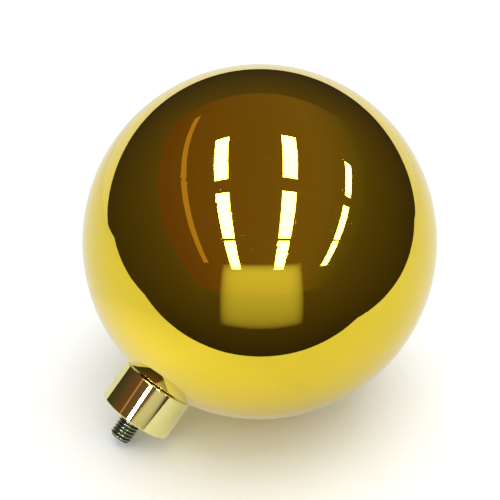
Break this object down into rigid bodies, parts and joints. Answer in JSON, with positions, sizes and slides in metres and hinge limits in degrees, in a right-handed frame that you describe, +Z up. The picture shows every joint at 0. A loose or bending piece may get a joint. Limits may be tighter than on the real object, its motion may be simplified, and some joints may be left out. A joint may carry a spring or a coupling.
{
  "type": "mirror ball on a screwed spigot",
  "caption": "Smooth gold mirror ball, a hollow metal sphere on a turned collar with a threaded stud, for the top of a pole or stand.",
  "frame": {"origin": "on the surface that the ball lies on, under the middle of the object", "axes": "+Z up; the ball's axis lies in the plane X=0, with the stud pointing towards -Y and down to the surface at 43.8 degrees"},
  "size_m": [0.15, 0.1524, 0.15],
  "materials": {
    "mirror_gold": "mirror polished under a clear gold lacquer",
    "polished_brass": "bright turned and polished, pale gold plate",
    "plain_brass": "as turned",
    "stud_steel": "dull zinc plated",
    "black_steel": "black oxide",
    "fibre": "red vulcanised fibre"
  },
  "bodies": {
    "ball_and_stud": {"upper_shell": "mirror_gold", "lower_shell": "mirror_gold", "seam_ring": "plain_brass", "neck_boss": "plain_brass", "spreader_washer": "stud_steel", "lock_washer": "stud_steel", "inner_nut": "stud_steel", "stud": "stud_steel"},
    "seat_washer": {"seat_washer": "fibre"},
    "collar": {"collar": "polished_brass"},
    "screw_pad_left": {"screw_pad_left": "plain_brass"},
    "screw_pad_right": {"screw_pad_right": "plain_brass"},
    "grub_screw_left": {"grub_screw_left": "black_steel"},
    "grub_screw_right": {"grub_screw_right": "black_steel"}
  },
  "joints": [
    {"name": "collar_slide", "type": "slide", "parent": "ball_and_stud", "child": "seat_washer", "axis": [0, -0.722, -0.6919], "range_m": [0, 0.01]},
    {"name": "collar_turn", "type": "hinge", "parent": "seat_washer", "child": "collar", "pos_m": [0, -0.06503, 0.01156], "axis": [0, -0.722, -0.6919], "continuous": true},
    {"name": "pad_travel_left", "type": "slide", "parent": "collar", "child": "screw_pad_left", "axis": [-0.6691, -0.5142, 0.5365], "range_m": [0, 0.0035]},
    {"name": "grub_screw_turn_left", "type": "hinge", "parent": "screw_pad_left", "child": "grub_screw_left", "pos_m": [-0.00649, -0.06352, 0.023], "axis": [-0.6691, -0.5142, 0.5365], "range_deg": [0, 2521]},
    {"name": "pad_travel_right", "type": "slide", "parent": "collar", "child": "screw_pad_right", "axis": [0.6691, 0.5142, -0.5365], "range_m": [0, 0.0035]},
    {"name": "grub_screw_turn_right", "type": "hinge", "parent": "screw_pad_right", "child": "grub_screw_right", "pos_m": [0.00649, -0.05354, 0.01259], "axis": [0.6691, 0.5142, -0.5365], "range_deg": [0, 2521]}
  ],
  "couplings": [
    {"joint": "grub_screw_turn_left", "follows": "pad_travel_left", "rad_per_m": 12566},
    {"joint": "grub_screw_turn_right", "follows": "pad_travel_right", "rad_per_m": 12566}
  ]
}
